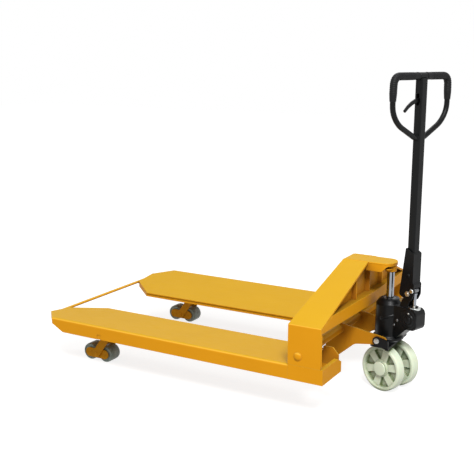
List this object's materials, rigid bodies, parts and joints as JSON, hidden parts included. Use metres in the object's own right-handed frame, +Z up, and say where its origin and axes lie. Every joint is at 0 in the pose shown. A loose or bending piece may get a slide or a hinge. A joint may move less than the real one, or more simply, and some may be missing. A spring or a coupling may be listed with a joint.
{
  "type": "hand pallet truck",
  "caption": "Wide hand pallet truck: two broad inclined forks, a portal over the steered pump unit, a loop handle and load rollers on swinging arms.",
  "frame": {"origin": "on the floor below the centre of the overall box, forks raised and wheels steered as stored", "axes": "+X from the fork tips toward the handle, +Y across the forks to the right of an operator who stands at the handle and faces them, +Z up"},
  "size_m": [1.5632, 0.95, 1.221],
  "materials": {
    "orange_paint": "semi-gloss paint on welded steel",
    "black_paint": "satin black paint on steel and cast iron",
    "chromed_steel": "hard chromed and ground",
    "zinc_steel": "bright zinc plated",
    "bare_steel": "oiled bare steel",
    "pale_nylon": "satin cast nylon",
    "grey_nylon": "satin moulded nylon",
    "black_rubber": "soft moulded grip"
  },
  "bodies": {
    "frame": {"fork_deck_left": "orange_paint", "fork_deck_right": "orange_paint", "fork_outer_wall_left": "orange_paint", "fork_outer_wall_right": "orange_paint", "fork_inner_wall_left": "orange_paint", "fork_inner_wall_right": "orange_paint", "fork_heel_left": "orange_paint", "fork_heel_right": "orange_paint", "riser_plate_left": "orange_paint", "riser_plate_right": "orange_paint", "portal_strip_left": "orange_paint", "portal_strip_right": "orange_paint", "head_cap": "orange_paint", "portal_web": "orange_paint", "portal_beam": "orange_paint", "tip_tie_rod": "orange_paint", "arm_hanger_left": "orange_paint", "arm_hanger_right": "orange_paint", "torsion_pin_left": "orange_paint", "torsion_pin_right": "orange_paint", "arm_pivot_pin_left": "zinc_steel", "arm_pivot_pin_right": "zinc_steel", "lift_ram": "chromed_steel"},
    "carriage": {"carriage_saddle": "black_paint", "yoke_bolt_left": "zinc_steel", "yoke_bolt_right": "zinc_steel", "thrust_ring": "bare_steel"},
    "yoke": {"torsion_shaft": "orange_paint", "yoke_arm_left": "orange_paint", "yoke_arm_right": "orange_paint"},
    "steering_unit": {"pump_body": "black_paint", "ram_gland": "bare_steel", "handle_pin": "zinc_steel", "wheel_axle": "zinc_steel"},
    "plunger": {"pump_plunger": "chromed_steel"},
    "valve_lever": {"valve_lever": "zinc_steel"},
    "handle": {"handle_socket": "black_paint", "handle_stem": "black_paint", "handle_loop": "black_paint", "handle_grip_left": "black_rubber", "handle_grip_right": "black_rubber", "cam_bolt": "zinc_steel", "cam_roller": "bare_steel", "stem_bolt": "zinc_steel"},
    "control_lever": {"control_lever": "black_paint"},
    "release_rod": {"release_rod": "zinc_steel"},
    "steered_wheel_left": {"steer_wheel_left": "pale_nylon", "wheel_bearing_left": "bare_steel"},
    "push_rod_left": {"push_rod_left": "bare_steel"},
    "arm_left": {"roller_arm_left": "orange_paint"},
    "bogie_left": {"bogie_frame_left": "orange_paint"},
    "front_roller_left": {"front_roller_left": "grey_nylon"},
    "rear_roller_left": {"rear_roller_left": "grey_nylon"},
    "steered_wheel_right": {"steer_wheel_right": "pale_nylon", "wheel_bearing_right": "bare_steel"},
    "push_rod_right": {"push_rod_right": "bare_steel"},
    "arm_right": {"roller_arm_right": "orange_paint"},
    "bogie_right": {"bogie_frame_right": "orange_paint"},
    "front_roller_right": {"front_roller_right": "grey_nylon"},
    "rear_roller_right": {"rear_roller_right": "grey_nylon"}
  },
  "joints": [
    {"name": "lift", "type": "slide", "parent": "frame", "child": "carriage", "axis": [0, 0, 1], "range_m": [0, 0.1]},
    {"name": "yoke_turn", "type": "hinge", "parent": "frame", "child": "yoke", "pos_m": [0.45072, 0, 0.235], "axis": [0, 1, 0], "range_deg": [-33.7, 0]},
    {"name": "steering", "type": "hinge", "parent": "carriage", "child": "steering_unit", "pos_m": [0.61772, 0, 0], "axis": [0, 0, 1], "range_deg": [-71.3, 108.7]},
    {"name": "handle_tilt", "type": "hinge", "parent": "steering_unit", "child": "handle", "pos_m": [0.71339, -0.03238, 0.401], "axis": [0.3206, 0.9472, 0], "range_deg": [0, 75], "stiffness_Nm_per_rad": 30, "springref_deg": -17.19},
    {"name": "plunger_slide", "type": "slide", "parent": "steering_unit", "child": "plunger", "axis": [0, 0, -1], "range_m": [0, 0.0256]},
    {"name": "control_lever_turn", "type": "hinge", "parent": "handle", "child": "control_lever", "pos_m": [0.71244, -0.03206, 1.122], "axis": [0.9472, -0.3206, 0], "range_deg": [-12, 12]},
    {"name": "release_rod_slide", "type": "slide", "parent": "handle", "child": "release_rod", "axis": [0, 0, 1], "range_m": [-0.002, 0.002]},
    {"name": "valve_lever_turn", "type": "hinge", "parent": "steering_unit", "child": "valve_lever", "pos_m": [0.67645, -0.01988, 0.367], "axis": [0.3206, 0.9472, 0], "range_deg": [-12.1, 12.1]},
    {"name": "wheel_spin_left", "type": "hinge", "parent": "steering_unit", "child": "steered_wheel_left", "pos_m": [0.63288, -0.00513, 0.09], "axis": [0.3206, 0.9472, 0], "continuous": true},
    {"name": "push_rod_slide_left", "type": "slide", "parent": "frame", "child": "push_rod_left", "axis": [1, 0, 0], "range_m": [0, 0.0407]},
    {"name": "arm_swing_left", "type": "hinge", "parent": "frame", "child": "arm_left", "pos_m": [-0.47428, -0.325, 0.127], "axis": [0, 1, 0], "range_deg": [0, 59.34]},
    {"name": "bogie_level_left", "type": "hinge", "parent": "arm_left", "child": "bogie_left", "pos_m": [-0.53815, -0.325, 0.035], "axis": [0, 1, 0], "range_deg": [-59.34, 0]},
    {"name": "front_roller_spin_left", "type": "hinge", "parent": "bogie_left", "child": "front_roller_left", "pos_m": [-0.57715, -0.325, 0.035], "axis": [0, 1, 0], "continuous": true},
    {"name": "rear_roller_spin_left", "type": "hinge", "parent": "bogie_left", "child": "rear_roller_left", "pos_m": [-0.49915, -0.325, 0.035], "axis": [0, 1, 0], "continuous": true},
    {"name": "wheel_spin_right", "type": "hinge", "parent": "steering_unit", "child": "steered_wheel_right", "pos_m": [0.63288, -0.00513, 0.09], "axis": [0.3206, 0.9472, 0], "continuous": true},
    {"name": "push_rod_slide_right", "type": "slide", "parent": "frame", "child": "push_rod_right", "axis": [1, 0, 0], "range_m": [0, 0.0407]},
    {"name": "arm_swing_right", "type": "hinge", "parent": "frame", "child": "arm_right", "pos_m": [-0.47428, 0.325, 0.127], "axis": [0, 1, 0], "range_deg": [0, 59.34]},
    {"name": "bogie_level_right", "type": "hinge", "parent": "arm_right", "child": "bogie_right", "pos_m": [-0.53815, 0.325, 0.035], "axis": [0, 1, 0], "range_deg": [-59.34, 0]},
    {"name": "front_roller_spin_right", "type": "hinge", "parent": "bogie_right", "child": "front_roller_right", "pos_m": [-0.57715, 0.325, 0.035], "axis": [0, 1, 0], "continuous": true},
    {"name": "rear_roller_spin_right", "type": "hinge", "parent": "bogie_right", "child": "rear_roller_right", "pos_m": [-0.49915, 0.325, 0.035], "axis": [0, 1, 0], "continuous": true}
  ],
  "couplings": [
    {"joint": "yoke_turn", "follows": "lift", "rad_per_m": -5.88},
    {"joint": "plunger_slide", "follows": "handle_tilt", "m_per_rad": 0.019481},
    {"joint": "release_rod_slide", "follows": "control_lever_turn", "m_per_rad": 0.009},
    {"joint": "valve_lever_turn", "follows": "control_lever_turn", "ratio": 1},
    {"joint": "push_rod_slide_left", "follows": "lift", "ratio": 0.4057},
    {"joint": "arm_swing_left", "follows": "lift", "rad_per_m": 10.354},
    {"joint": "bogie_level_left", "follows": "lift", "rad_per_m": -10.354},
    {"joint": "push_rod_slide_right", "follows": "lift", "ratio": 0.4057},
    {"joint": "arm_swing_right", "follows": "lift", "rad_per_m": 10.354},
    {"joint": "bogie_level_right", "follows": "lift", "rad_per_m": -10.354}
  ]
}
